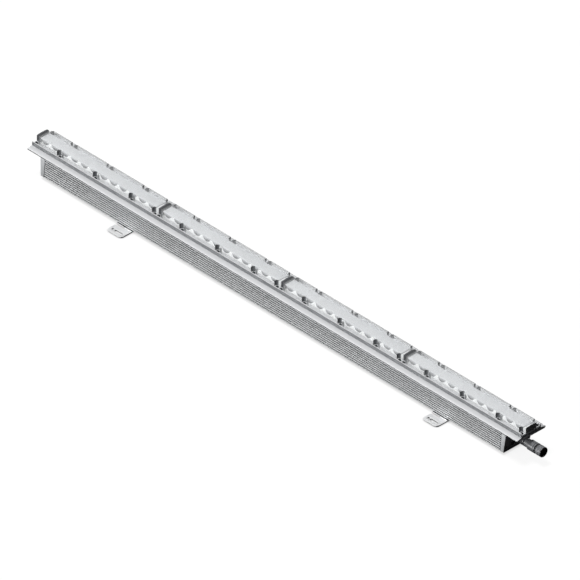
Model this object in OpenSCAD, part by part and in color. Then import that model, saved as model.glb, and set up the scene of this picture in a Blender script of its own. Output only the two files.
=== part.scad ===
/* [Lamp head] */
// Length of one lamp module
module_len = 304.8; // [295:0.1:315]
// Width across the wing tips
head_w = 69; // [67:0.5:72]
// Thickness of the base plate along its middle
plate_t = 5; // [4.6:0.1:6]
// Height of the wing tip above the plate's underside
tip_rise = 2; // [1.5:0.1:2.4]
// Height of the wing tip's flat edge
tip_h = 1.9; // [1.6:0.1:2.2]
// Rise of the sloped wing, from its tip to the channel
wing_rise = 2.3; // [2:0.1:2.8]
// Outer width of the lamp channel
channel_w = 47; // [46.8:0.1:49]
// Height of the lamp channel
channel_h = 8.6; // [8:0.1:9.5]
// Thickness of the channel's walls
channel_t = 1.8; // [1.5:0.1:2]
// Thickness of the channel's floor
floor_t = 2; // [1.8:0.1:2.4]

/* [Module cover] */
// Width of the cover's flange
flange_w = 42.6; // [42.5:0.1:42.8]
// Thickness of the cover's flange
flange_t = 2.2; // [1.8:0.1:2.4]
// Width of the cover's dome
dome_w = 38; // [37:0.1:38.5]
// Height of the cover, from the gasket to the crown
cover_h = 14.2; // [13.8:0.1:15]
// Rise of the arched crown above the dome's edges
crown_rise = 1.7; // [1.2:0.1:2]
// Thickness of the cover's shell
shell_t = 1.5; // [1.2:0.1:1.6]
// Radius of the screw notches in the dome's sides
notch_r = 6; // [5.5:0.1:6.2]
// Distance of the notch centres from the middle plane
notch_y = 18.5; // [18.4:0.1:18.8]
// Share of the module's length from its centre to a side notch
notch_share = 0.2923; // [0.27:0.0001:0.31]
// Distance of the end notches from the module's end
notch_end = 4.9; // [4.7:0.1:5.2]
// Depth that a round notch goes past its straight run
notch_step = 0.4; // [0.3:0.05:0.5]
// Thickness of the gasket under the cover
gasket_t = 1; // [0.8:0.1:1.2]
// Width of the gasket's long bars
gasket_bar = 5; // [4:0.1:5.5]
// Width of the gasket's end bars
gasket_end = 4; // [3.5:0.1:4.2]
// Width of the joint seal along the row
seal_w = 5; // [4.8:0.1:5.4]
// Width of the joint seal across the row
seal_span = 25; // [24:0.1:25.4]
// Height of the joint seal above the crown
seal_proud = 0.4; // [0.2:0.1:0.6]

/* [Light source] */
// Width of the circuit board
board_w = 21.6; // [20:0.1:21.8]
// Thickness of the circuit board
board_t = 1.6; // [1.2:0.1:1.8]
// Distance of the first and last optics from the module's ends
lens_end = 19.685; // [19:0.005:21]
// Radius of one optic
lens_r = 9.2; // [8.8:0.1:9.3]
// Length of one optic across the row
lens_w = 21.6; // [20:0.1:21.6]
// Height of the optics' flat tops above the board
lens_rise = 10.2; // [10.2:0.1:10.4]
// Thickness of the web that joins the optics
web_t = 1.5; // [1.2:0.1:1.8]
// Length of the web past the last optic
web_past = 2; // [1:0.1:2.5]
// Radius of the pegs under the web
peg_r = 1.5; // [1:0.1:1.8]
// Side of one light-emitting chip
chip_w = 3.5; // [3:0.1:4]
// Height of one chip
chip_h = 0.8; // [0.6:0.1:0.9]

/* [Driver housing] */
// Distance of the housing from the head's left end
inset_left = 39.3; // [36:0.1:42]
// Distance of the housing from the head's right end
inset_right = 44.3; // [42:0.1:48]
// Height of the housing
housing_h = 40.1; // [40:0.1:41]
// Width of the housing at its top
housing_top_w = 59; // [58:0.1:60]
// Width of the housing at its bottom
housing_low_w = 65.6; // [65:0.1:67]
// Radius of the housing's lower corners
corner_r = 2.5; // [2:0.1:3]
// Spacing of the side grooves
groove_pitch = 4.2; // [4.1:0.05:4.2]
// Width of a side groove
groove_w = 1.8; // [1.5:0.1:2]
// Depth of a side groove
groove_d = 2.2; // [1.8:0.1:2.4]
// Height of the lowest groove above the housing's bottom
groove_low = 4.5; // [4.2:0.1:4.6]
// Thickness of the housing's walls behind the grooves
wall_t = 2.5; // [2.2:0.1:2.8]
// Half width of the screw rib under the top wall
rib_half = 6.5; // [6:0.1:7]
// Depth of the screw rib
rib_h = 5; // [4:0.1:6]
// Radius of a screw port
port_r = 3.4; // [3.2:0.1:3.6]
// Distance of the lower screw ports from the housing's side
port_low_side = 6.57; // [6.2:0.01:6.8]
// Height of the lower screw ports above the housing's bottom
port_low_z = 7.7; // [7.4:0.1:8]
// Distance of the upper screw ports from the housing's side
port_high_side = 6.1; // [5.9:0.01:6.4]
// Height of the upper screw ports above the housing's bottom
port_high_z = 32.8; // [32:0.1:33]

/* [End plates] */
// Thickness of an end plate at its top
end_top_t = 11; // [10.5:0.1:12]
// Thickness of an end plate at its bottom
end_low_t = 7.2; // [7:0.1:8]
// Thickness of the end gaskets
end_gasket_t = 1; // [0.8:0.1:1.2]
// Thickness of the plate under a screw's head
end_seat = 4.5; // [4:0.1:5]
// Thickness of the plate under a connector's seal
gland_seat = 8; // [7.8:0.1:8]
// Thickness of the plate under the vent
vent_seat = 6.6; // [6:0.1:6.8]
// Distance of the vent from the middle plane
vent_y = 11; // [10.9:0.1:11.5]
// Distance of the vent below the connector's axis
vent_drop = 7.5; // [7.4:0.1:8]
// Radius of the vent's cap
vent_r = 3.7; // [3:0.1:3.8]
// Radius of the vent's stem
vent_stem_r = 2.4; // [2:0.1:2.5]
// Height of the vent's cap
vent_h = 2.7; // [2:0.1:3]

/* [Connectors] */
// Height of the connector's axis above the housing's bottom
plug_z = 19.8; // [19.5:0.1:20.2]
// Radius of the stem through the end plate
stem_r = 6; // [5.5:0.1:6]
// Length of the stem inside the housing
stem_in = 8; // [7:0.1:9]
// Radius of the strain relief's ribs
relief_r = 8; // [7.6:0.1:8.2]
// Radius of the strain relief between its ribs
relief_core_r = 6.6; // [6.4:0.1:7]
// Length of the strain relief
relief_len = 32.1; // [30:0.1:34]
// Thickness of a strain relief rib
relief_rib = 3.4; // [3:0.1:3.6]
// Thickness of a connector seal
gland_seal_t = 0.8; // [0.6:0.1:1]
// Radius of the plug's body and of the coupling nut
plug_r = 9.75; // [9.5:0.05:10]
// Length of the plug's body
plug_len = 14.2; // [13:0.1:16]
// Outer radius of the plug's sleeve
sleeve_r = 7.5; // [7.5:0.05:7.6]
// Inner radius of the plug's sleeve
sleeve_bore_r = 6.3; // [6.2:0.05:6.4]
// Length of the plug's sleeve
sleeve_len = 15.2; // [14:0.1:16]
// Length of the coupling nut
nut_len = 18.9; // [18:0.1:20]
// Radius of the thread space inside the coupling nut
thread_r = 8.4; // [8.35:0.05:8.6]
// Length of the nut's running bore
nut_bore_len = 8.5; // [8:0.1:9]
// Radius of a knurl flute on the nut
flute_r = 0.7; // [0.6:0.05:0.8]
// Depth of a knurl flute
flute_d = 0.45; // [0.3:0.05:0.5]
// Width of the nut's smooth rims
nut_rim = 1.8; // [1.4:0.1:2.2]
// Depth of the snap ring's groove
snap_groove = 0.45; // [0.4:0.05:0.5]
// Width of the snap ring
snap_w = 1.2; // [1:0.1:1.4]
// Outer radius of the snap ring
snap_r = 8.05; // [8:0.01:8.1]
// Length of the plug's insulator
core_len = 11.6; // [10:0.1:12]
// Radius of a contact pin
contact_r = 0.8; // [0.6:0.05:0.9]
// Distance of the contacts from the connector's axis
contact_ring_r = 3.4; // [3:0.1:3.8]
// Length of a contact pin
contact_len = 12; // [10:0.1:13]
// Length of the receptacle's barrel
barrel_len = 14; // [12:0.1:15]
// Outer radius of the receptacle's barrel
barrel_r = 8.3; // [8.25:0.05:8.4]
// Inner radius of the receptacle's barrel
barrel_bore_r = 7.6; // [7.6:0.02:7.7]
// Thickness of the receptacle's flange
barrel_flange = 3; // [2.5:0.1:3.5]

/* [Feet] */
// Distance of the left foot's centre from the housing's left end
foot_left_in = 200.6; // [190:0.1:210]
// Distance of the right foot's centre from the housing's right end
foot_right_in = 149; // [140:0.1:160]
// Length of a foot along the light
foot_w = 36.5; // [35:0.1:38]
// Reach of a foot from the hinge's axis to its outer edge
foot_reach = 27.8; // [26:0.1:30]
// Thickness of a foot and of the hinge's base leaf
leaf_t = 2; // [1.95:0.05:2.1]
// Thickness of the spacer above the base leaf
spacer_t = 2.2; // [2.1:0.1:2.5]
// Radius of a foot's outer corners
foot_corner_r = 7; // [5:0.5:8]
// Distance of the foot's set-back edge from the hinge's axis
foot_back = 6.5; // [6:0.1:7.5]
// Distance of the hinge's axis from the housing's lower edge
hinge_in = 1.3; // [1:0.1:1.5]
// Height of the hinge's axis
hinge_z = 1.9; // [1.9:0.01:1.95]
// Radius of a hinge knuckle
knuckle_r = 1.85; // [1.8:0.01:1.87]
// Radius of the hinge pin
pin_r = 1; // [0.95:0.01:1.05]
// Radius of the hinge pin's end heads
pin_head_r = 1.5; // [1.4:0.05:1.6]
// Length of one hinge pin head
pin_head = 0.6; // [0.5:0.05:0.8]
// Distance of the base leaf's cut edge from the hinge's axis
base_cut = 4; // [3.9:0.1:4.4]
// Distance of the spacer's near edge from the hinge's axis
spacer_back = 6.5; // [5.5:0.1:7.5]
// Distance of the base leaf's far edge from the middle plane
base_far = 22; // [20:0.1:24]
// Distance of the fixing holes from the hinge's axis
fix_out = 18.5; // [17.5:0.1:19.5]
// Radius of the fixing hole, and half the width of the slot
fix_r = 2.5; // [2.2:0.05:2.7]
// Distance of the round hole from the foot's centre
fix_x = 10.7; // [10.4:0.1:11]
// Distance of the slot's centre from the foot's centre
slot_x = 3.4; // [3.2:0.1:3.6]
// Overall length of the slot
slot_len = 18.8; // [18:0.1:19]

/* [Screws] */
// Radius of the cover, joining and end screws
screw_r = 1.5; // [1.4:0.05:1.6]
// Radius of a cover screw's head
cap_r = 3.25; // [3:0.05:3.3]
// Height of a cover screw's head
cap_h = 1.6; // [1.5:0.1:1.8]
// Distance of the cover screws from the middle plane
screw_y = 18; // [17.9:0.1:18.1]
// Width across the corners of a screw's hexagon socket
socket_d = 3; // [2.5:0.1:3.2]
// Depth of a screw's hexagon socket
socket_h = 1; // [0.8:0.1:1.2]
// Radius of an end screw's head
end_head_r = 3; // [2.8:0.1:3.1]
// Height of an end screw's head
end_head_h = 2.4; // [2:0.1:2.6]
// Radius of a countersunk head
sunk_r = 3.6; // [3.4:0.1:3.7]
// Height of a countersunk head
sunk_h = 1.8; // [1.6:0.1:1.8]
// Gap around a screw in its hole
screw_gap = 0.1; // [0.05:0.01:0.15]

/* [Driver] */
// Length of the driver's circuit board
driver_len = 420; // [400:1:440]
// Width of the driver's circuit board
driver_w = 36; // [32:0.5:38]
// Height of the board above the housing's floor
driver_lift = 6.3; // [6:0.1:7]
// Distance of the board's centre from the lead passage
driver_side = 150; // [140:1:160]
// Height of the terminal blocks
terminal_h = 11; // [10:0.1:12]
// Length of a terminal block
terminal_l = 12; // [10:0.1:14]
// Width of a terminal block
terminal_w = 24; // [20:0.1:26]
// Radius of one insulated lead
lead_r = 0.9; // [0.7:0.05:1]
// Spacing of the leads
lead_pitch = 2.6; // [2.4:0.1:3]
// Distance of the lead passage from the third joining screw
pass_side = 23; // [20:0.5:30]
// Radius of the lead passage
pass_r = 5; // [4.5:0.1:5]
// Wall of the rubber grommet in the passage
grommet_t = 1.9; // [1.5:0.1:2]

/* [Clearances] */
// Gap between a module and its neighbour's face
module_gap = 0.2; // [0.1:0.05:0.3]
// Running clearance around a hinge pin
pin_clear = 0.05; // [0.03:0.01:0.08]
// Running clearance around the plug's sleeve
nut_clear = 0.05; // [0.03:0.01:0.08]
// Gap beside a turning piece
side_gap = 0.3; // [0.25:0.05:0.4]
// Gap around a piece pushed into its seat
seat_gap = 0.1; // [0.05:0.01:0.12]

/* [Hidden] */
$fn = 48;
arch_fn = 360;
slack = module_len / 300;

module_n = 4;
lens_n = 12;
groove_n = 9;
flute_n = 24;
contact_n = 4;
relief_rib_n = 5;
joining_n = 6;
corner_n = 6;
hexagon = 6;

head_len = module_n * module_len;
left_x = -head_len / 2;
right_x = head_len / 2;
channel_half = channel_w / 2;
head_half = head_w / 2;

housing_z = leaf_t + spacer_t;
housing_top = housing_z + housing_h;
tip_z = housing_top + tip_rise;
tip_top = tip_z + tip_h;
wing_top = tip_top + wing_rise;
channel_z = housing_top + plate_t;
floor_z = channel_z + floor_t;
channel_top = channel_z + channel_h;
cover_z = floor_z + gasket_t;
flange_top = cover_z + flange_t;
crown_z = cover_z + cover_h;
board_top = floor_z + board_t;
lens_z = board_top + lens_rise;

flange_half = flange_w / 2;
dome_half = dome_w / 2;
arch_r = (pow(dome_half, 2) + pow(crown_rise, 2)) / (2 * crown_rise);
notch_x = module_len * notch_share;
notch_xs = [notch_end, module_len / 2 - notch_x, module_len / 2, module_len / 2 + notch_x,
    module_len - notch_end];
lens_pitch = (module_len - 2 * lens_end) / (lens_n - 1);
lens_xs = [for (i = [0 : lens_n - 1]) lens_end + i * lens_pitch];
board_x0 = seal_w + shell_t + side_gap;
board_x1 = module_len - module_gap - max(gasket_end, shell_t) - side_gap;

housing_x0 = left_x + inset_left;
housing_x1 = right_x - inset_right;
side_slope = (housing_low_w - housing_top_w) / 2 / housing_h;
cavity_z = housing_z + wall_t;
cavity_top = housing_top - wall_t;
plate_left_x = housing_x0 - end_gasket_t;
plate_right_x = housing_x1 + end_gasket_t;
port_zs = [housing_z + port_low_z, housing_z + port_high_z];
ports = [[side_at(port_zs[0]) - port_low_side, port_zs[0]],
    [side_at(port_zs[1]) - port_high_side, port_zs[1]]];
joining_run = (housing_x1 - housing_x0) / joining_n;
joining_xs = [for (i = [0 : joining_n - 1]) housing_x0 + (i + 1 / 2) * joining_run];

axis_z = housing_z + plug_z;
flange_at = gland_seat + gland_seal_t;
plug_at = flange_at + relief_len;
sleeve_at = plug_at + plug_len;
nut_at = sleeve_at + side_gap;
snap_at = nut_at + nut_bore_len + side_gap;
barrel_end = flange_at + barrel_len;
nut_end_x = plate_right_x + nut_at + nut_len;

foot_left_x = housing_x0 + foot_left_in;
foot_right_x = housing_x1 - foot_right_in;
foot_xs = [foot_left_x, foot_right_x];
foot_half = foot_w / 2;
hinge_y = housing_low_w / 2 - hinge_in;
foot_out = hinge_y + foot_reach;
foot_back_y = hinge_y + foot_back;
spacer_near = hinge_y - spacer_back;
fix_y = hinge_y + fix_out;
knuckle_gap = side_gap;
pass_x = joining_xs[joining_n / 2 - 1] - pass_side;
driver_x = pass_x + driver_side;
driver_z = cavity_z + driver_lift;
driver_x0 = driver_x - driver_len / 2;
driver_x1 = driver_x + driver_len / 2;
parts_z = driver_z + board_t;

centre_x = (left_x + nut_end_x) / 2;
centre_y = (head_half - foot_out) / 2;

// Half width of the housing's side at a height
function side_at(z) = housing_low_w / 2 - (z - housing_z) * side_slope;

// Points of an arc, from one angle to another
function arc(x, z, r, from, to) =
    [for (i = [0 : corner_n]) [x + r * cos(from + (to - from) * i / corner_n),
        z + r * sin(from + (to - from) * i / corner_n)]];

// A list of points mirrored to the other side, in reverse order
function mirrored(points) = [for (i = [len(points) - 1 : -1 : 0]) [-points[i][0], points[i][1]]];

// Centre distance of a lower corner's arc
function corner_y() = housing_low_w / 2 - corner_r * side_slope - corner_r * sqrt(1 + pow(side_slope, 2));

// Points up one side of the plain housing outline
function plain_side() = concat(arc(corner_y(), housing_z + corner_r, corner_r, -90, atan(side_slope)),
    [[housing_top_w / 2, housing_top]]);

// Four points of one groove in the housing's side
function groove(z) = let (low = z - groove_w / 2, high = z + groove_w / 2)
    [[side_at(low), low], [side_at(low) - groove_d, low], [side_at(high) - groove_d, high],
        [side_at(high), high]];

// Points up one side of the grooved housing outline
function grooved_side() = concat(arc(corner_y(), housing_z + corner_r, corner_r, -90, atan(side_slope)),
    [for (i = [0 : groove_n - 1]) each groove(housing_z + groove_low + i * groove_pitch)],
    [[housing_top_w / 2, housing_top]]);

// Moves the light from its own middle to the middle of its box
module centred() translate([-centre_x, -centre_y, 0]) children();

// A block between two corners
module block(low, high) translate(low) cube(high - low);

// A flat outline across the light, drawn out along it
module along(x0, x1) translate([x0, 0, 0]) rotate([90, 0, 90]) linear_extrude(x1 - x0) children();

// A round bar along the light
module bar(r, x0, x1) translate([x0, 0, 0]) rotate([0, 90, 0]) cylinder(r = r, h = x1 - x0);

// A tube along the light
module tube(r, bore, x0, x1) difference() {
    bar(r, x0, x1);
    bar(bore, x0 - slack, x1 + slack);
}

// The left end of one module
module at_module(i) centred() translate([left_x + (i - 1) * module_len, 0, 0]) children();

// The connector's axis at the right plate's inner face, outwards along +X
module at_plug() centred() translate([plate_right_x, 0, axis_z]) children();

// The connector's axis at the left plate's inner face, outwards along +X
module at_receptacle() centred() translate([plate_left_x, 0, axis_z]) mirror([1, 0, 0]) children();

// The places of the module's cover screws
module at_cover_screws() for (x = notch_xs, y = [-screw_y, screw_y]) translate([x, y, 0]) children();

// The places of the joining screws along the housing
module at_joining_screws() for (x = joining_xs) translate([x, 0, 0]) children();

// The places of a hinge base's screws, at foot x
module at_base_screws(x) for (side = [-1, 1])
    translate([x + side * foot_half / 2, base_far / 2, 0]) children();

// A countersunk head and shank, from the head's face down
module sunk_screw(gap, length) {
    translate([0, 0, -sunk_h]) cylinder(r1 = screw_r + gap, r2 = sunk_r + gap, h = sunk_h);
    translate([0, 0, -length]) cylinder(r = screw_r + gap, h = length - sunk_h / 2);
}

// Holes for every module's cover screws, between two heights
module cover_screw_holes(z0, z1) for (i = [0 : module_n - 1]) translate([left_x + i * module_len, 0, 0])
    at_cover_screws() translate([0, 0, z0]) cylinder(r = screw_r + screw_gap, h = z1 - z0);

// Base plate of the lamp head, with its two sloped wings
module wing_plate() {
    half = [[head_half - tip_rise, housing_top], [head_half, tip_z], [head_half, tip_top],
        [channel_half, wing_top], [channel_half, channel_z]];
    color("gainsboro") centred() difference() {
        along(left_x, right_x) polygon(concat(half, mirrored(half)));
        cover_screw_holes(channel_z - plate_t / 2, channel_z + slack);
        at_joining_screws() translate([0, 0, floor_z]) sunk_screw(screw_gap, floor_t + plate_t + slack);
        translate([pass_x, 0, housing_top - slack]) cylinder(r = pass_r, h = plate_t + 2 * slack);
    }
}

// U-shaped channel that the modules sit in
module lamp_channel() {
    color("darkgray") centred() difference() {
        block([left_x, -channel_half, channel_z], [right_x, channel_half, channel_top]);
        block([left_x - slack, channel_t - channel_half, floor_z], [right_x + slack, channel_half - channel_t,
            channel_top + slack]);
        cover_screw_holes(channel_z - slack, floor_z + slack);
        at_joining_screws() translate([0, 0, floor_z]) sunk_screw(screw_gap, floor_t + slack);
        translate([pass_x, 0, channel_z - slack]) cylinder(r = pass_r, h = floor_t + 2 * slack);
    }
}

// Rubber frame under one cover
module cover_gasket(i) {
    edge = flange_half - side_gap;
    bar_y = edge - gasket_bar;
    color("dimgray") at_module(i) difference() {
        block([module_gap, -edge, floor_z], [module_len - module_gap, edge, cover_z]);
        block([module_gap + gasket_end, -bar_y, floor_z - slack],
            [module_len - module_gap - gasket_end, bar_y, cover_z + slack]);
        at_cover_screws() translate([0, 0, floor_z - slack])
            cylinder(r = screw_r + screw_gap, h = gasket_t + 2 * slack);
    }
}

// Circuit board of one module
module led_board(i) color("white") at_module(i)
    block([board_x0, -board_w / 2, floor_z], [board_x1, board_w / 2, board_top]);

// Light-emitting chips of one module
module led_row(i) color("khaki") at_module(i) for (x = lens_xs)
    block([x - chip_w / 2, -chip_w / 2, board_top], [x + chip_w / 2, chip_w / 2, board_top + chip_h]);

// Half-round optic with a flat top, across the row
module optic() intersection() {
    translate([0, lens_w / 2, 0]) rotate([90, 0, 0]) cylinder(r = lens_r, h = lens_w);
    block([-lens_r - slack, -lens_w, -lens_r - slack], [lens_r + slack, lens_w, 0]);
}

// Strip of optics of one module, joined by a web that stands on pegs
module optic_strip(i) {
    first = lens_xs[0] - lens_r - web_past;
    last = lens_xs[lens_n - 1] + lens_r + web_past;
    color("whitesmoke", 0.6) at_module(i) union() {
        block([first, -lens_w / 2, lens_z - web_t], [last, lens_w / 2, lens_z]);
        for (x = lens_xs) translate([x, 0, lens_z]) optic();
        for (j = [1 : lens_n - 1]) translate([lens_xs[j] - lens_pitch / 2, 0, board_top])
            cylinder(r = peg_r, h = lens_rise - web_t / 2);
    }
}

// Arched block of a module's dome
module dome(half, low, crown, r, x0, x1) intersection() {
    block([x0, -half, low], [x1, half, crown + slack]);
    translate([0, 0, crown - r]) rotate([0, 90, 0]) translate([0, 0, x0 - slack])
        cylinder(r = r, h = x1 - x0 + 2 * slack, $fn = arch_fn);
}

// Screw notches of a module, grown by a wall and open at the module's ends
module notches(grow, low) for (side = [-1, 1]) {
    for (x = notch_xs) translate([x, side * notch_y, low]) cylinder(r = notch_r + grow, h = cover_h);
    run = notch_y - notch_r - grow + notch_step;
    for (ends = [[-slack, notch_end], [module_len - notch_end, module_len + slack]])
        block([ends[0], min(side * run, side * head_half), low], [ends[1], max(side * run, side * head_half),
            low + cover_h]);
}

// Clear cover of one module: a flange and an arched, notched shell
module module_cover(i) {
    x0 = seal_w;
    x1 = module_len - module_gap;
    color("lightgray", 0.6) at_module(i) difference() {
        union() {
            block([module_gap, -flange_half, cover_z], [x1, flange_half, flange_top]);
            difference() {
                dome(dome_half, cover_z + flange_t / 2, crown_z, arch_r, x0, x1);
                notches(0, flange_top);
            }
        }
        difference() {
            dome(dome_half - shell_t, cover_z - slack, crown_z - shell_t, arch_r - shell_t, x0 + shell_t,
                x1 - shell_t);
            notches(shell_t, cover_z - 2 * slack);
        }
        at_cover_screws() translate([0, 0, cover_z - slack])
            cylinder(r = screw_r + screw_gap, h = flange_t + 2 * slack);
    }
}

// Dark seal across the row at a module's left end
module joint_seal(i) color("dimgray") at_module(i)
    dome(seal_span / 2, flange_top, crown_z + seal_proud, arch_r + seal_proud, module_gap,
        seal_w - module_gap / 2);

// Screws that hold the covers down
module cover_screws() color("dimgray") for (i = [1 : module_n]) at_module(i) at_cover_screws() difference() {
    union() {
        translate([0, 0, flange_top]) cylinder(r = cap_r, h = cap_h);
        translate([0, 0, channel_z - plate_t / 4])
            cylinder(r = screw_r, h = flange_top - channel_z + plate_t / 2);
    }
    translate([0, 0, flange_top + cap_h - socket_h]) cylinder(d = socket_d, h = 2 * socket_h, $fn = hexagon);
}

// Countersunk screws that join the head to the driver housing
module joining_screws() color("silver") centred() at_joining_screws() translate([0, 0, floor_z])
    difference() {
        sunk_screw(0, floor_t + plate_t + wall_t + rib_h / 2);
        translate([0, 0, -socket_h]) cylinder(d = socket_d, h = 2 * socket_h, $fn = hexagon);
    }

// Hollow driver housing with grooved sides, screw ports and a rib
module driver_housing() {
    inner_low = side_at(cavity_z) - groove_d - wall_t;
    inner_top = side_at(cavity_top) - groove_d - wall_t;
    cavity = [[inner_low, cavity_z], [inner_top, cavity_top]];
    color("darkgray") centred() difference() {
        along(housing_x0, housing_x1) polygon(concat(grooved_side(), mirrored(grooved_side())));
        difference() {
            along(housing_x0 - slack, housing_x1 + slack) polygon(concat(cavity, mirrored(cavity)));
            block([housing_x0 - 2 * slack, -rib_half, cavity_top - rib_h], [housing_x1 + 2 * slack, rib_half,
                housing_top]);
            for (port = ports, side = [-1, 1]) translate([0, side * port[0], port[1]])
                bar(port_r, housing_x0 - 2 * slack, housing_x1 + 2 * slack);
        }
        for (port = ports, side = [-1, 1]) translate([0, side * port[0], port[1]])
            bar(screw_r + screw_gap, housing_x0 - slack, housing_x1 + slack);
        at_joining_screws() translate([0, 0, cavity_top - rib_h - slack])
            cylinder(r = screw_r + screw_gap, h = rib_h + wall_t + 2 * slack);
        translate([pass_x, 0, cavity_top - rib_h - slack])
            cylinder(r = pass_r, h = rib_h + wall_t + 2 * slack);
        for (x = foot_xs) at_base_screws(x) translate([0, 0, housing_z - slack])
            cylinder(r = screw_r + screw_gap, h = wall_t + 2 * slack);
    }
}

// End plate from its inner face outwards along +X, with a tilted outer face and a connector's round seat
module end_plate(seat_r) difference() {
    along(0, end_top_t) polygon(concat(plain_side(), mirrored(plain_side())));
    translate([end_low_t, -head_half, housing_z]) rotate([0, atan((end_top_t - end_low_t) / housing_h), 0])
        translate([0, 0, -housing_h]) cube([end_top_t, head_w, 2 * housing_h + end_top_t]);
    for (port = ports, side = [-1, 1]) translate([0, side * port[0], port[1]]) {
        bar(screw_r + screw_gap, -slack, end_top_t + slack);
        bar(end_head_r + seat_gap, end_seat, end_top_t + slack);
    }
    translate([0, 0, axis_z]) bar(stem_r + seat_gap, -slack, end_top_t + slack);
    translate([0, 0, axis_z]) bar(seat_r + side_gap, gland_seat, end_top_t + slack);
}

// Left end plate
module end_plate_left() color("silver") centred() translate([plate_left_x, 0, 0]) mirror([1, 0, 0])
    end_plate(plug_r);

// Right end plate, with a seat for the vent
module end_plate_right() color("silver") centred() translate([plate_right_x, 0, 0]) difference() {
    end_plate(relief_r);
    translate([0, -vent_y, axis_z - vent_drop]) {
        bar(vent_stem_r + seat_gap, -slack, end_top_t + slack);
        bar(vent_r + seat_gap, vent_seat, end_top_t + slack);
    }
}

// Gasket between the housing and an end plate, from x along +X
module end_gasket(x) centred() difference() {
    along(x, x + end_gasket_t) polygon(concat(plain_side(), mirrored(plain_side())));
    translate([0, 0, axis_z]) bar(plug_r + side_gap, x - slack, x + end_gasket_t + slack);
    for (port = ports, side = [-1, 1]) translate([0, side * port[0], port[1]])
        bar(screw_r + screw_gap, x - slack, x + end_gasket_t + slack);
    translate([0, -vent_y, axis_z - vent_drop])
        bar(vent_stem_r + seat_gap, x - slack, x + end_gasket_t + slack);
}

// Left end gasket
module end_gasket_left() color("dimgray") end_gasket(plate_left_x);

// Right end gasket
module end_gasket_right() color("dimgray") end_gasket(housing_x1);

// One end screw, from the plate's inner face outwards along +X
module end_screw() difference() {
    union() {
        bar(end_head_r, end_seat, end_seat + end_head_h);
        bar(screw_r, -3 * end_head_h, end_seat + end_head_h / 2);
    }
    translate([end_seat + end_head_h - socket_h, 0, 0]) rotate([0, 90, 0])
        cylinder(d = socket_d, h = 2 * socket_h, $fn = hexagon);
}

// Screws that hold the two end plates
module end_screws() color("dimgray") centred() for (port = ports, side = [-1, 1]) {
    translate([plate_right_x, side * port[0], port[1]]) end_screw();
    translate([plate_left_x, side * port[0], port[1]]) mirror([1, 0, 0]) end_screw();
}

// Breather plug in the right end plate
module vent_plug() color("dimgray") at_plug() translate([0, -vent_y, -vent_drop]) {
    bar(vent_r, vent_seat, vent_seat + vent_h);
    bar(vent_stem_r, -end_gasket_t / 2, vent_seat + vent_h / 2);
}

// Driver's circuit board
module driver_board() color("seagreen") centred()
    block([driver_x0, -driver_w / 2, driver_z], [driver_x1, driver_w / 2, parts_z]);

// Standoffs between the housing's floor and the driver's board
module board_standoffs() color("silver") centred()
    for (x = [driver_x0 + driver_w / 2, driver_x, driver_x1 - driver_w / 2], side = [-1, 1])
        translate([x, side * driver_w / 3, cavity_z]) cylinder(r = port_r, h = driver_lift, $fn = hexagon);

// Coils, transformer and capacitors on the driver's board
module driver_parts() color("dimgray") centred() translate([driver_x, 0, parts_z]) {
    block([0, -driver_w / 3, 0], [driver_w, driver_w / 3, 2 * terminal_h - board_t]);
    for (i = [1 : 3]) translate([-i * driver_w * 2 / 3, 0, 0]) cylinder(r = driver_w / 4, h = terminal_h);
    for (i = [2 : 4]) translate([i * driver_w * 3 / 4, driver_w / 8, 0])
        cylinder(r = driver_w / 5, h = 2 * terminal_h - board_t);
}

// Terminal blocks at the driver's ends and under the lead passage
module terminal_blocks() color("darkslategray") centred()
    for (x = [driver_x0 + terminal_l / 2, driver_x1 - terminal_l / 2, pass_x])
        block([x - terminal_l / 2, -terminal_w / 2, parts_z], [x + terminal_l / 2, terminal_w / 2,
            parts_z + terminal_h]);

// Two leads up to the lamp modules
module output_leads() color("firebrick") centred() for (side = [-1, 1])
    translate([pass_x, side * lead_pitch / 2, parts_z + terminal_h])
        cylinder(r = lead_r, h = floor_z - parts_z - terminal_h);

// Three leads from each connector to the driver
module input_leads() {
    z = parts_z + terminal_h / 2;
    color("navy") centred() for (i = [-1 : 1]) translate([0, i * lead_pitch, z]) {
        bar(lead_r, driver_x1, plate_right_x - stem_in);
        bar(lead_r, plate_left_x + stem_in, driver_x0);
    }
}

// Rubber grommet in the lead passage
module lead_grommet() color("dimgray") centred() translate([pass_x, 0, cavity_top - rib_h]) difference() {
    cylinder(r = pass_r - seat_gap, h = floor_z - cavity_top + rib_h);
    translate([0, 0, -slack]) cylinder(r = pass_r - grommet_t, h = floor_z - cavity_top + rib_h + 2 * slack);
}

// Ribbed strain relief with its stem through the right end plate
module strain_relief() {
    rib_run = relief_len - relief_rib;
    color("dimgray") at_plug() {
        bar(stem_r, -stem_in, flange_at + relief_rib / 2);
        bar(relief_core_r, flange_at, plug_at);
        for (i = [0 : relief_rib_n]) translate([flange_at + i * rib_run / relief_rib_n, 0, 0])
            bar(relief_r, 0, relief_rib);
    }
}

// Seals under the strain relief and under the receptacle
module gland_seals() color("black") {
    at_plug() tube(relief_r, stem_r + seat_gap, gland_seat, flange_at);
    at_receptacle() tube(relief_r, stem_r + seat_gap, gland_seat, flange_at);
}

// Hexagon nut on a connector's stem, inside the housing
module gland_nut() difference() {
    translate([-stem_in + seat_gap, 0, 0]) rotate([0, 90, 0])
        cylinder(r = plug_r, h = stem_in - seat_gap, $fn = hexagon);
    bar(stem_r + seat_gap, -stem_in, slack);
}

// Nuts that hold the two connectors
module gland_nuts() color("silver") {
    at_plug() gland_nut();
    at_receptacle() gland_nut();
}

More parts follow.
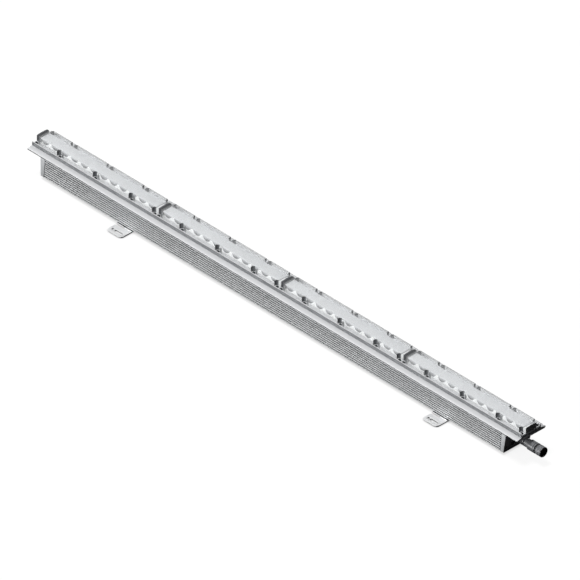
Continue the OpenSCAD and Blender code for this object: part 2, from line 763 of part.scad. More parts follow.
// Plug body with the sleeve that the coupling nut turns on
module plug_body() color("dimgray") at_plug() difference() {
    union() {
        bar(plug_r, plug_at, sleeve_at);
        bar(sleeve_r, sleeve_at - plug_len / 2, sleeve_at + sleeve_len);
    }
    bar(sleeve_bore_r, sleeve_at, sleeve_at + sleeve_len + slack);
    tube(plug_r, sleeve_r - snap_groove, snap_at, snap_at + snap_w);
}

// Snap ring that keeps the coupling nut on
module snap_ring() color("silver") at_plug()
    tube(snap_r, sleeve_r - snap_groove + seat_gap / 2, snap_at + seat_gap / 2,
        snap_at + snap_w - seat_gap / 2);

// The places of the contacts around the connector's axis
module at_contacts() for (i = [0 : contact_n - 1])
    rotate([(i + 1 / 2) * 360 / contact_n, 0, 0]) translate([0, contact_ring_r, 0]) children();

// Insulator inside the plug's sleeve
module plug_insulator() color("darkslategray") at_plug() difference() {
    bar(sleeve_bore_r - seat_gap, sleeve_at, sleeve_at + core_len);
    at_contacts() bar(contact_r + seat_gap / 2, sleeve_at + core_len / 3, sleeve_at + core_len + slack);
}

// Contact pins of the plug
module contact_pins() color("gold") at_plug() at_contacts()
    bar(contact_r, sleeve_at + core_len / 3, sleeve_at + core_len / 3 + contact_len * 5 / 6);

// Knurled coupling nut
module coupling_nut() color("dimgray") at_plug() difference() {
    bar(plug_r, nut_at, nut_at + nut_len);
    bar(sleeve_r + nut_clear, nut_at - slack, nut_at + nut_len + slack);
    bar(thread_r, nut_at + nut_bore_len, nut_at + nut_len + slack);
    for (i = [0 : flute_n - 1]) rotate([i * 360 / flute_n, 0, 0])
        translate([0, plug_r + flute_r - flute_d, 0])
            bar(flute_r, nut_at + nut_rim, nut_at + nut_len - nut_rim);
}

// Shell of the receptacle in the left end plate
module receptacle_shell() color("dimgray") at_receptacle() difference() {
    union() {
        bar(stem_r, -stem_in, flange_at + barrel_flange / 2);
        bar(plug_r, flange_at, flange_at + barrel_flange);
        bar(barrel_r, flange_at + barrel_flange / 2, barrel_end);
    }
    bar(barrel_bore_r, flange_at + barrel_flange, barrel_end + slack);
}

// Insert of the receptacle, with its sockets
module receptacle_insert() color("darkslategray") at_receptacle() difference() {
    bar(sleeve_bore_r - 2 * seat_gap, flange_at + barrel_flange, barrel_end - barrel_flange / 2);
    at_contacts() bar(contact_r + seat_gap, flange_at + 2 * barrel_flange, barrel_end);
}

// One knuckle on the hinge's axis, between two places along it
module knuckle(x0, x1) translate([0, -hinge_y, hinge_z]) bar(knuckle_r, x0, x1);

// Bore for the hinge pin, at foot x
module pin_bore(x) translate([0, -hinge_y, hinge_z]) bar(pin_r + pin_clear, x - foot_half - slack,
    x + foot_half + slack);

// Hinge base under the housing: knuckle, leaf and spacer, at foot x
module hinge_base(x) centred() difference() {
    union() {
        block([x - foot_half, -hinge_y, 0], [x - knuckle_gap, base_far, leaf_t]);
        block([x - foot_half, base_cut - hinge_y, 0], [x + foot_half, base_far, leaf_t]);
        block([x - foot_half, -spacer_near, leaf_t / 2], [x + foot_half, base_far, housing_z]);
        knuckle(x - foot_half, x - knuckle_gap);
    }
    pin_bore(x);
    at_base_screws(x) mirror([0, 0, 1]) translate([0, 0, -screw_gap])
        sunk_screw(screw_gap, housing_z + slack);
    at_base_screws(x) translate([0, 0, -slack]) cylinder(r = sunk_r + screw_gap, h = slack + screw_gap);
}

// Left hinge base
module hinge_base_left() color("silver") hinge_base(foot_left_x);

// Right hinge base
module hinge_base_right() color("silver") hinge_base(foot_right_x);

// Countersunk screws of the hinge bases
module base_screws() color("silver") centred() for (x = foot_xs) at_base_screws(x) mirror([0, 0, 1])
    translate([0, 0, -screw_gap]) difference() {
        sunk_screw(0, housing_z + 2 * wall_t);
        translate([0, 0, -socket_h]) cylinder(d = socket_d, h = 2 * socket_h, $fn = hexagon);
    }

// Hinge pins with a head at each end
module hinge_pins() color("silver") centred() for (x = foot_xs) translate([0, -hinge_y, hinge_z]) {
    bar(pin_r, x - foot_half - side_gap - pin_head / 2, x + foot_half + side_gap + pin_head / 2);
    bar(pin_head_r, x - foot_half - side_gap - pin_head, x - foot_half - side_gap);
    bar(pin_head_r, x + foot_half + side_gap, x + foot_half + side_gap + pin_head);
}

// Foot: a leaf with a fixing hole and a slot, and its hinge knuckle, at foot x
module foot(x) {
    near = foot_corner_r - foot_half;
    low = foot_corner_r - foot_out;
    outline = concat([[knuckle_gap, -hinge_y], [knuckle_gap, -foot_back_y], [-foot_half, -foot_back_y]],
        arc(near, low, foot_corner_r, 180, 270), arc(-near, low, foot_corner_r, 270, 360),
        [[foot_half, -hinge_y]]);
    slot_run = slot_len / 2 - fix_r;
    centred() difference() {
        union() {
            translate([x, 0, 0]) linear_extrude(leaf_t) polygon(outline);
            knuckle(x + knuckle_gap, x + foot_half);
        }
        pin_bore(x);
        translate([x - fix_x, -fix_y, -slack]) cylinder(r = fix_r, h = leaf_t + 2 * slack);
        for (side = [-1, 1]) translate([x + slot_x + side * slot_run, -fix_y, -slack])
            cylinder(r = fix_r, h = leaf_t + 2 * slack);
        block([x + slot_x - slot_run, -fix_y - fix_r, -slack],
            [x + slot_x + slot_run, fix_r - fix_y, leaf_t + slack]);
    }
}

// Left foot
module foot_left() color("lightgray") foot(foot_left_x);

// Right foot
module foot_right() color("lightgray") foot(foot_right_x);

wing_plate();
lamp_channel();
cover_gasket(1);  // cover_gasket_1
cover_gasket(2);  // cover_gasket_2
cover_gasket(3);  // cover_gasket_3
cover_gasket(4);  // cover_gasket_4
led_board(1);  // led_board_1
led_board(2);  // led_board_2
led_board(3);  // led_board_3
led_board(4);  // led_board_4
led_row(1);  // led_row_1
led_row(2);  // led_row_2
led_row(3);  // led_row_3
led_row(4);  // led_row_4
optic_strip(1);  // optic_strip_1
optic_strip(2);  // optic_strip_2
optic_strip(3);  // optic_strip_3
optic_strip(4);  // optic_strip_4
module_cover(1);  // module_cover_1
module_cover(2);  // module_cover_2
module_cover(3);  // module_cover_3
module_cover(4);  // module_cover_4
joint_seal(1);  // joint_seal_1
joint_seal(2);  // joint_seal_2
joint_seal(3);  // joint_seal_3
joint_seal(4);  // joint_seal_4
cover_screws();
joining_screws();
driver_housing();
end_plate_left();
end_plate_right();
end_gasket_left();
end_gasket_right();
end_screws();
vent_plug();
driver_board();
board_standoffs();
driver_parts();
terminal_blocks();
output_leads();
input_leads();
lead_grommet();
strain_relief();
gland_seals();
gland_nuts();
plug_body();
snap_ring();
plug_insulator();
contact_pins();
coupling_nut();
receptacle_shell();
receptacle_insert();
hinge_base_left();
hinge_base_right();
base_screws();
hinge_pins();
foot_left();
foot_right();
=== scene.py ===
"""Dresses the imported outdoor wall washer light: finishes, detailed pieces, floor, soft light and camera.

Sizes are in millimetres until a mesh is made, and Blender's own unit is the metre. The light runs along X with its
plug at +X, its feet at -Y, and it shines along +Z.
"""
import logging
import math
from dataclasses import dataclass
from enum import Enum
from functools import partial
from typing import Callable, Optional, Sequence

import bmesh
import bpy
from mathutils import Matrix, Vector


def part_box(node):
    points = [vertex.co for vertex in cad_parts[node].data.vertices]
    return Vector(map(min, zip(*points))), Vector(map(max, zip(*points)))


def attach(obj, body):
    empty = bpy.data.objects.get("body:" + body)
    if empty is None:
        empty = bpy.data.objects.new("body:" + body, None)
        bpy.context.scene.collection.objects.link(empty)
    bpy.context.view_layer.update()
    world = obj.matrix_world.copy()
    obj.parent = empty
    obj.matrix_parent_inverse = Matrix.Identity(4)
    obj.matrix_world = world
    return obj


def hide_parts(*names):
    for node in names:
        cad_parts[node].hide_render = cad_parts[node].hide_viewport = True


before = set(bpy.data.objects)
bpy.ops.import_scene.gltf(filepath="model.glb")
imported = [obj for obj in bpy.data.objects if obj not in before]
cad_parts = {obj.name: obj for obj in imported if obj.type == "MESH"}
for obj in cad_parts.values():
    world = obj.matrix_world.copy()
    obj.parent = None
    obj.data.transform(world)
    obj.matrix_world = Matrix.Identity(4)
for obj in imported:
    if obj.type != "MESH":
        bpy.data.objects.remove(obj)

MM = 0.001
PHOTO_SIDE_PX = 580
LOG = logging.getLogger("wall_washer")

# Points nearer than this in mm are one: in a drawn shape, and in a CAD node's triangles
DRAWN_MERGE_MM = 0.0005
NODE_MERGE_MM = 0.002
# Angles between faces in degrees: flat below the first, shaded sharp above the second, rounded above the third
FLAT_DEG = 0.5
SHARP_DEG = 32.0
ROUNDED_DEG = 40.0
# The grain pattern's fineness, and the share of its height that the light sees
GRAIN_DETAIL = 3.0
GRAIN_ROUGHNESS = 0.55
BUMP_STRENGTH = 0.5
# The numbers of a colour mix's sockets
MIX_FIRST, MIX_SECOND, MIX_RESULT = 6, 7, 2

Piece = bpy.types.Object
Shape = bmesh.types.BMesh
Socket = bpy.types.NodeSocket
Tree = bpy.types.NodeTree
Pair = tuple[float, float]
Triple = tuple[float, float, float]
Ring = list[Vector]
Profile = list[Pair]


class Body(Enum):
    """The bodies that the light's pieces ride on."""

    LIGHT = "light"
    FOOT_LEFT = "foot_left_body"
    FOOT_RIGHT = "foot_right_body"
    NUT = "nut_body"


def linear(hex_colour: str) -> tuple[float, float, float, float]:
    """Turns six sRGB hex digits, red first, into Blender's linear colour with an alpha of 1."""
    parts = [int(hex_colour[i:i + 2], 16) / 255 for i in (0, 2, 4)]
    red, green, blue = [p / 12.92 if p <= 0.04045 else ((p + 0.055) / 1.055) ** 2.4 for p in parts]
    return red, green, blue, 1.0


def add_node(tree: Tree, kind: str, settings: Optional[dict] = None,
             links: Optional[dict] = None) -> bpy.types.Node:
    """Adds one node with its settings and its incoming links.

    Args:
        tree: The tree that gets the node.
        kind: Blender's name of the node's type.
        settings: Attribute or input names, or input numbers, and their values.
        links: Input names or numbers, and the sockets that feed them.

    Returns:
        The new node.
    """
    node = tree.nodes.new(kind)
    for key, value in (settings or {}).items():
        if isinstance(key, str) and hasattr(node, key):
            setattr(node, key, value)
        else:
            node.inputs[key].default_value = value
    for key, socket in (links or {}).items():
        tree.links.new(socket, node.inputs[key])
    return node


def empty_tree(owner: bpy.types.ID) -> Tree:
    """Gives a material or a world an empty node tree."""
    owner.use_nodes = True
    owner.node_tree.nodes.clear()
    return owner.node_tree


def fitted(tree: Tree, value: Socket, into: Pair = (0, 1), given: Pair = (0, 1)) -> Socket:
    """Fits a value's given range into another one, and clamps it there."""
    settings = {"From Min": given[0], "From Max": given[1], "To Min": into[0], "To Max": into[1]}
    return add_node(tree, "ShaderNodeMapRange", settings, {"Value": value}).outputs["Result"]


@dataclass(frozen=True)
class Finish:
    """A finish, named for the real material and how its surface was made.

    Attributes:
        name: The material's name.
        colour: The main sRGB hex colour.
        second: The sRGB hex colour that it varies towards.
        roughness: The lowest and the highest roughness.
        grain: The pattern's size along X, Y and Z in mm.
        bump_mm: The height of the surface's grain.
        metallic: How far the surface is a bare metal.
    """

    name: str
    colour: str
    second: str
    roughness: Pair
    grain: Triple
    bump_mm: float = 0.01
    metallic: float = 0.0

    def shader_settings(self) -> dict:
        """Constants on the shader's own sockets."""
        return {"Metallic": self.metallic}

    def tint(self, tree: Tree, place: Socket, grain: Socket) -> Socket:
        """Builds the colour's nodes.

        Args:
            tree: The material's tree.
            place: The point on the piece.
            grain: The grain pattern, from 0 to 1.

        Returns:
            The socket that gives the colour.
        """
        colours = {"data_type": "RGBA", MIX_FIRST: linear(self.colour), MIX_SECOND: linear(self.second)}
        return add_node(tree, "ShaderNodeMix", colours, {0: grain}).outputs[MIX_RESULT]

    def material(self) -> bpy.types.Material:
        """Makes the material once, and returns the same one after that."""
        known = bpy.data.materials.get(self.name)
        if known:
            return known
        made = bpy.data.materials.new(self.name)
        tree = empty_tree(made)
        add = partial(add_node, tree)
        coords = add("ShaderNodeTexCoord")
        per_metre = tuple(1 / (size * MM) for size in self.grain)
        mapped = add("ShaderNodeMapping", {"Scale": per_metre}, {"Vector": coords.outputs["Object"]})
        noise = add("ShaderNodeTexNoise", {"Scale": 1.0, "Detail": GRAIN_DETAIL, "Roughness": GRAIN_ROUGHNESS},
                    {"Vector": mapped.outputs["Vector"]})
        grain = noise.outputs["Fac"]
        tint = self.tint(tree, coords.outputs["Object"], grain)
        rough = fitted(tree, grain, self.roughness)
        bump = add("ShaderNodeBump", {"Strength": BUMP_STRENGTH, "Distance": self.bump_mm * MM}, {"Height": grain})
        shader = add("ShaderNodeBsdfPrincipled", self.shader_settings(),
                     {"Base Color": tint, "Roughness": rough, "Normal": bump.outputs["Normal"]})
        add("ShaderNodeOutputMaterial", None, {"Surface": shader.outputs["BSDF"]})
        return made


@dataclass(frozen=True)
class ClearFinish(Finish):
    """A thin clear moulding: what is behind it shows through, and its surface has a faint haze.

    Attributes:
        ior: The plastic's index of refraction.
        haze: The share of its surface that hides what is behind it.
    """

    ior: float = 1.585
    haze: float = 0.3

    def shader_settings(self) -> dict:
        """Constants on the shader's own sockets."""
        return {"Metallic": 0.0, "IOR": self.ior, "Alpha": self.haze}


@dataclass(frozen=True)
class LensEndShadeFinish(ClearFinish):
    """The flat end of a lens, with a painted shade crescent that is darkest low down and fades upwards.

    Attributes:
        dark: The painted shade's sRGB hex colour.
        low_mm: The Z at which the crescent is darkest.
        high_mm: The Z at which it has faded.
    """

    dark: str = "6E7072"
    low_mm: float = 0.0
    high_mm: float = 1.0

    def tint(self, tree: Tree, place: Socket, grain: Socket) -> Socket:
        """Fades the painted shade into the lens's own colour with the height."""
        plain = super().tint(tree, place, grain)
        split = add_node(tree, "ShaderNodeSeparateXYZ", None, {"Vector": place})
        fade = fitted(tree, split.outputs["Z"], given=(self.low_mm * MM, self.high_mm * MM))
        return add_node(tree, "ShaderNodeMix", {"data_type": "RGBA", MIX_FIRST: linear(self.dark)},
                        {0: fade, MIX_SECOND: plain}).outputs[MIX_RESULT]


# Extruded aluminium, clear anodised: a satin sheen drawn out along it
WING_METAL = Finish("anodised_extruded_aluminium", "D1D2D4", "C8C9CB", (0.38, 0.48), (160, 0.9, 0.9), 0.004, 0.35)
# The same anodised extrusion, darker: painted shade on the channel's outer walls and ends
CHANNEL_SHADE_METAL = Finish("anodised_aluminium_painted_shade", "8E9092", "838587", (0.36, 0.46), (160, 0.9, 0.9), 0.004, 0.4)
# The same anodised extrusion, lighter: painted light on the channel's rims and inside
CHANNEL_LIT_METAL = Finish("anodised_aluminium_painted_light", "E2E3E4", "D8D9DB", (0.34, 0.42), (3, 0.4, 0.4), 0.004, 0.3)
# The wings' long edges, a darker and more mirror-like copy of the extrusion: painted shade on faces that look sideways
WING_EDGE_SHADE = Finish("aluminium_edge_painted_shade", "5E6062", "565859", (0.24, 0.32), (40, 0.6, 0.6), 0.003, 0.75)
# The driver housing's extrusion: the streaks run along its grooves
HOUSING_METAL = Finish("anodised_grooved_aluminium", "E6E8E9", "DCDEE0", (0.40, 0.50), (160, 1.1, 1.1), 0.005, 0.3)
# The floors of its grooves, darker: painted shade in the recesses
GROOVE_SHADE_METAL = Finish("aluminium_groove_painted_shade", "78797B", "6E7072", (0.50, 0.60), (160, 0.8, 0.8), 0.008, 0.3)
# Die-cast aluminium, shot-blasted: an even fine grain
CAST_METAL = Finish("blasted_diecast_aluminium", "D6D8DA", "CACCCE", (0.46, 0.58), (0.9, 0.9, 0.9), 0.02, 0.35)
# Stainless strip, brushed along the light
FOOT_METAL = Finish("brushed_stainless_strip", "EAEBEC", "DEDFE0", (0.34, 0.46), (22, 0.5, 0.5), 0.006, 0.2)
# The same strip behind the hinge's axis and on its sheared ends, nearly black: painted shade under the housing and on
# the ends
FOOT_SHADE_METAL = Finish("stainless_painted_shade", "303136", "242529", (0.34, 0.46), (2, 0.6, 0.6), 0.004, 0.5)
# Zinc plated steel: slightly blue, with a mottled bloom
ZINC_METAL = Finish("zinc_plated_steel", "BFC2C6", "A9ACB0", (0.28, 0.40), (1.6, 1.6, 1.6), 0.004, 0.85)
# Black oxide steel: dark, a little glossy from its oil
BLACK_METAL = Finish("black_oxide_steel", "34353A", "26272B", (0.30, 0.44), (0.8, 0.8, 0.8), 0.004, 0.6)
# Moulded silicone: matte, with a dusty bloom
SEAL_SILICONE = Finish("moulded_silicone", "4E5053", "424447", (0.55, 0.70), (1.2, 1.2, 1.2), 0.02)
# Cut neoprene: matte and black
GASKET_NEOPRENE = Finish("cut_neoprene", "26272A", "1E1F21", (0.70, 0.82), (0.8, 0.8, 0.8), 0.03)
# Moulded silicone under the covers: milky
GASKET_SILICONE = Finish("milky_silicone", "C6C8CA", "BABCBE", (0.50, 0.62), (1.4, 1.4, 1.4), 0.02)
# Spark-eroded nylon: a fine matte grain
CONNECTOR_NYLON = Finish("spark_eroded_nylon", "76777A", "6A6B6E", (0.30, 0.40), (0.5, 0.5, 0.5), 0.03)
RELIEF_RUBBER = Finish("moulded_relief_rubber", "747578", "68696C", (0.34, 0.44), (0.7, 0.7, 0.7), 0.03)
INSERT_NYLON = Finish("glass_filled_nylon", "C4C5C8", "B6B7BA", (0.50, 0.60), (0.4, 0.4, 0.4), 0.02)
CONTACT_BRASS = Finish("gold_flashed_brass", "E2C26C", "D0AE58", (0.16, 0.26), (3.0, 0.3, 0.3), 0.002, 1.0)
# White solder mask over copper tracks
LAMP_BOARD = Finish("white_solder_mask", "EAEBEB", "DFE0E0", (0.30, 0.40), (14, 3.2, 3.2), 0.03)
CHIP_PHOSPHOR = Finish("phosphor_silicone", "E9DE8E", "DDCF70", (0.25, 0.35), (0.3, 0.3, 0.3), 0.005)
DRIVER_BOARD = Finish("green_solder_mask", "2E6A48", "245A3C", (0.35, 0.45), (6, 1.5, 1.5), 0.03)
DRIVER_CASES = Finish("moulded_epoxy", "2B2C2F", "222326", (0.45, 0.60), (0.8, 0.8, 0.8), 0.02)
TERMINAL_NYLON = Finish("moulded_terminal_nylon", "3E6E66", "336058", (0.40, 0.50), (0.6, 0.6, 0.6), 0.01)
LEAD_VINYL = Finish("extruded_vinyl", "2E3A78", "26316A", (0.35, 0.45), (8, 0.5, 0.5), 0.005)
# Clear polycarbonate, injection moulded: a faint haze
COVER_POLYCARBONATE = ClearFinish("clear_moulded_polycarbonate", "F4F5F6", "EDEFF0", (0.08, 0.14), (6, 6, 6), 0.003,
                                  haze=0.11)
# The same moulding where the tool is spark-eroded: a frosted flange
COVER_FROSTED = ClearFinish("frosted_moulded_polycarbonate", "EEF0F1", "E4E6E8", (0.40, 0.52), (0.6, 0.6, 0.6), 0.01,
                            haze=0.8)
# Its end walls and notches, darker and nearly opaque: painted shade and painted dark refraction on walls that face
# along the light
COVER_WALL_SHADE = ClearFinish("polycarbonate_walls_painted_shade", "808285", "76787B", (0.30, 0.42), (0.8, 0.8, 0.8), 0.008,
                          haze=0.93)
# Its long wall on the far side, darker: painted shade
COVER_BACK_SHADE = ClearFinish("polycarbonate_back_painted_shade", "8A8C8E", "808284", (0.20, 0.30), (2, 2, 2), 0.004,
                         haze=0.33)
# Clear acrylic of the optics, white with the light that they scatter
OPTIC_ACRYLIC = ClearFinish("moulded_optic_acrylic", "F6F7F8", "EEF0F1", (0.10, 0.18), (3, 3, 3), 0.003,
                            ior=1.49, haze=0.85)
# Its flat top and each row's last flank towards the plug, greyer: painted shade
OPTIC_TOP_SHADE = ClearFinish("optic_top_painted_shade", "D4D6D8", "CBCDCF", (0.28, 0.36), (5, 5, 5), 0.004,
                        ior=1.49, haze=0.93)


def smooth(mesh: bpy.types.Mesh) -> None:
    """Shades a mesh smooth but for its sharp edges."""
    mesh.shade_smooth()
    mesh.set_sharp_from_angle(angle=math.radians(SHARP_DEG))


def new_object(name: str, data: bpy.types.ID) -> Piece:
    """Links a mesh, a lamp or a camera into the scene as a new object at the origin."""
    made = bpy.data.objects.new(name, data)
    bpy.context.scene.collection.objects.link(made)
    return made


def to_mesh(name: str, shape: Shape) -> bpy.types.Mesh:
    """Turns a shape into a mesh and frees the shape."""
    mesh = bpy.data.meshes.new(name)
    shape.to_mesh(mesh)
    shape.free()
    return mesh


def drawn(name: str, shape: Shape) -> Piece:
    """Turns a shape in millimetres into an object in metres, smoothed and with its faces outwards."""
    bmesh.ops.remove_doubles(shape, verts=shape.verts, dist=DRAWN_MERGE_MM)
    bmesh.ops.recalc_face_normals(shape, faces=shape.faces)
    bmesh.ops.scale(shape, vec=(MM, MM, MM), verts=shape.verts)
    mesh = to_mesh(name, shape)
    smooth(mesh)
    return new_object(name, mesh)


def set_finish(piece: Piece, finish: Finish) -> None:
    """Makes a finish a piece's only one."""
    piece.data.materials.clear()
    piece.data.materials.append(finish.material())


def dress(piece: Piece, finish: Finish, node: str, body: Body = Body.LIGHT) -> Piece:
    """Gives a piece its finish, its body and the node that it stands for.

    Args:
        piece: The finished object.
        finish: Its finish.
        node: The CAD node that it replaces.
        body: The body that it rides on.

    Returns:
        The piece.
    """
    set_finish(piece, finish)
    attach(piece, body.value)
    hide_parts(node)
    LOG.info("piece %s on %s: %d faces", piece.name, body.value, len(piece.data.polygons))
    return piece


def mark_faces(piece: Piece, finish: Finish, chosen: Callable[[Vector, Vector], bool]) -> None:
    """Gives a dressed piece's faces a further finish, where a face's middle in mm and its normal fit the rule."""
    piece.data.materials.append(finish.material())
    slot = len(piece.data.materials) - 1
    for face in piece.data.polygons:
        if chosen(face.center / MM, face.normal):
            face.material_index = slot


def keep_nodes(finish: Finish, *nodes: str) -> None:
    """Gives CAD nodes that stay a finish."""
    for name in nodes:
        set_finish(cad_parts[name], finish)
        LOG.info("node %s kept, in %s", name, finish.name)


def span_mm(node: str) -> tuple[Vector, Vector]:
    """The lowest and highest corners of a CAD node in millimetres."""
    low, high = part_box(node)
    return low / MM, high / MM


def rounded(points: Profile, radius: float, steps: int = 3) -> Profile:
    """Rounds the corners of a closed outline.

    Args:
        points: The outline's corners, in order.
        radius: How far along its two edges a corner's curve reaches, at most.
        steps: The straight steps of each curve.

    Returns:
        The rounded outline.
    """
    edge_share = 0.45
    done: Profile = []
    for i, corner in enumerate(points):
        here = Vector(corner)
        back = Vector(points[i - 1]) - here
        ahead = Vector(points[(i + 1) % len(points)]) - here
        reach = min(radius, edge_share * back.length, edge_share * ahead.length)
        start = here + back.normalized() * reach
        end = here + ahead.normalized() * reach
        for k in range(steps + 1):
            t = k / steps
            point = start * (1 - t) ** 2 + here * 2 * t * (1 - t) + end * t * t
            done.append((point.x, point.y))
    return done


def both_sides(half: Profile) -> Profile:
    """Mirrors one side of an outline and joins the two."""
    return half + [(-y, z) for y, z in reversed(half)]


def ring_of_faces(shape: Shape, rings: Sequence[Ring], closed: bool = False) -> None:
    """Joins rings of equally many points with faces.

    Args:
        shape: The shape that gets the faces.
        rings: The rings, in order.
        closed: Whether the last ring joins the first one. Otherwise the two get a face each.
    """
    made = [[shape.verts.new(point) for point in ring] for ring in rings]
    count = len(rings[0])
    pairs = list(zip(made, made[1:])) + ([(made[-1], made[0])] if closed else [])
    for first, second in pairs:
        for i in range(count):
            j = (i + 1) % count
            shape.faces.new((first[i], first[j], second[j], second[i]))
    if not closed:
        shape.faces.new(made[0])
        shape.faces.new(made[-1])


def ring_solid(rings: Sequence[Ring], closed: bool = False) -> Shape:
    """Makes a new shape of rings joined with faces."""
    shape = bmesh.new()
    ring_of_faces(shape, rings, closed)
    return shape


def around(steps: int) -> list[float]:
    """The angles of points spread evenly on a circle."""
    return [2 * math.pi * n / steps for n in range(steps)]


def circle(radius: float, z: float, steps: int, x: float = 0.0, y: float = 0.0) -> Ring:
    """A level ring of points with its centre at X and Y."""
    return [Vector((x + radius * math.cos(a), y + radius * math.sin(a), z)) for a in around(steps)]


def swept(loops: Sequence[Profile], x0: float, x1: float, centre_y: float) -> Shape:
    """Draws outlines out along X and closes the two ends.

    Args:
        loops: The outer outline and any inner ones, as Y from the middle plane and Z.
        x0: The near end.
        x1: The far end.
        centre_y: The middle plane.

    Returns:
        The solid.
    """
    shape = bmesh.new()
    ends: tuple[list, list] = ([], [])
    for loop in loops:
        rows = [[shape.verts.new((x, centre_y + y, z)) for y, z in loop] for x in (x0, x1)]
        for i in range(len(loop)):
            j = (i + 1) % len(loop)
            shape.faces.new((rows[0][i], rows[0][j], rows[1][j], rows[1][i]))
            for row, edges in zip(rows, ends):
                edges.append(shape.edges.get((row[i], row[j])))
    for edges in ends:
        bmesh.ops.triangle_fill(shape, use_beauty=True, use_dissolve=False, edges=edges)
    return shape


def turned(profile: Profile, y: float, z: float, steps: int = 48, closed: bool = False) -> Shape:
    """Turns a profile of X and radius round the axis along X at Y and Z. A tube's profile is closed."""
    return ring_solid([[Vector((x, y + radius * math.cos(a), z + radius * math.sin(a))) for a in around(steps)]
                       for x, radius in profile], closed)


def softened(node: str, kind: str, width: float, finish: Finish, body: Body = Body.LIGHT,
             steps: int = 2) -> Piece:
    """Copies a CAD node, merges its loose triangles, rounds its sharp edges and dresses it in the node's place.

    Args:
        node: The CAD node.
        kind: The word that the piece's name adds to the node's.
        width: The width of the rounded edges in mm.
        finish: Its finish.
        body: The body that it rides on.
        steps: The straight steps of a rounded edge.

    Returns:
        The piece.
    """
    shape = bmesh.new()
    shape.from_mesh(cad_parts[node].data)
    bmesh.ops.remove_doubles(shape, verts=shape.verts, dist=NODE_MERGE_MM * MM)
    bmesh.ops.dissolve_limit(shape, angle_limit=math.radians(FLAT_DEG), verts=shape.verts, edges=shape.edges)
    name = f"{node}_{kind}"
    piece = new_object(name, to_mesh(name, shape))
    soft = piece.modifiers.new("soft edges", "BEVEL")
    soft.width = width * MM
    soft.segments = steps
    soft.limit_method = "ANGLE"
    soft.angle_limit = math.radians(ROUNDED_DEG)
    soft.use_clamp_overlap = True
    return dress(bake(piece), finish, node, body)


def bake(piece: Piece) -> Piece:
    """Turns a piece's evaluated shape into its plain mesh and takes its modifiers off."""
    graph = bpy.context.evaluated_depsgraph_get()
    mesh = bpy.data.meshes.new_from_object(piece.evaluated_get(graph), depsgraph=graph)
    piece.modifiers.clear()
    piece.data = mesh
    smooth(mesh)
    return piece


@dataclass(frozen=True)
class Repeat:
    """Copies of one small shape in rows, each copy turned about X by its number.

    Attributes:
        starts: Where each row begins, in mm.
        count: The copies in a row.
        step: The way from one copy to the next, in mm.
        turn: The angle from one copy to the next about X, in degrees.
    """

    starts: tuple[Triple, ...]
    count: int
    step: Triple = (0, 0, 0)
    turn: float = 0.0

    def tree(self, name: str) -> Tree:
        """Builds the node tree, with inputs for the shape, its count, step and turn, and its material."""
        tree = bpy.data.node_groups.new(name, "GeometryNodeTree")
        add = partial(add_node, tree)
        for label, kind in (("Shape", "NodeSocketGeometry"), ("Count", "NodeSocketInt"), ("Step", "NodeSocketVector"),
                            ("Turn", "NodeSocketFloat"), ("Material", "NodeSocketMaterial")):
            tree.interface.new_socket(label, in_out="INPUT", socket_type=kind)
        tree.interface.new_socket("Shape", in_out="OUTPUT", socket_type="NodeSocketGeometry")
        given = add("NodeGroupInput").outputs
        index = add("GeometryNodeInputIndex")
        angle = add("ShaderNodeMath", {"operation": "MULTIPLY"}, {0: index.outputs["Index"], 1: given["Turn"]})
        euler = add("ShaderNodeCombineXYZ", None, {"X": angle.outputs["Value"]})
        turning = add("FunctionNodeEulerToRotation", None, {"Euler": euler.outputs["Vector"]})
        joined = add("GeometryNodeJoinGeometry")
        for start in self.starts:
            line = add("GeometryNodeMeshLine", {"mode": "OFFSET", "Start Location": Vector(start) * MM},
                       {"Count": given["Count"], "Offset": given["Step"]})
            copies = add("GeometryNodeInstanceOnPoints", None, {"Points": line.outputs["Mesh"],
                         "Instance": given["Shape"], "Rotation": turning.outputs["Rotation"]})
            tree.links.new(copies.outputs["Instances"], joined.inputs["Geometry"])
        real = add("GeometryNodeRealizeInstances", None, {"Geometry": joined.outputs["Geometry"]})
        painted = add("GeometryNodeSetMaterial", None,
                      {"Geometry": real.outputs["Geometry"], "Material": given["Material"]})
        add("NodeGroupOutput", None, {"Shape": painted.outputs["Geometry"]})
        return tree

    def make(self, name: str, unit: Shape, finish: Finish) -> Piece:
        """Makes the copies as one plain mesh.

        Args:
            name: The piece's name.
            unit: The shape that repeats, around the origin, in mm.
            finish: The finish that the tree sets.

        Returns:
            The piece, with no modifier left.
        """
        piece = drawn(name, unit)
        rows = piece.modifiers.new("rows", "NODES")
        rows.node_group = self.tree(f"{name}_rows")
        values = {"Count": self.count, "Step": Vector(self.step) * MM, "Turn": math.radians(self.turn),
                  "Material": finish.material()}
        for item in rows.node_group.interface.items_tree:
            if item.in_out == "INPUT" and item.name in values:
                rows[item.identifier] = values[item.name]
        return bake(piece)


def join(into: Piece, *others: Piece) -> Piece:
    """Adds other pieces' meshes to a piece, removes those pieces and returns the joined one."""
    shape = bmesh.new()
    for part in (into, *others):
        shape.from_mesh(part.data)
    into.data = to_mesh(into.name, shape)
    for part in others:
        bpy.data.objects.remove(part)
    smooth(into.data)
    return into


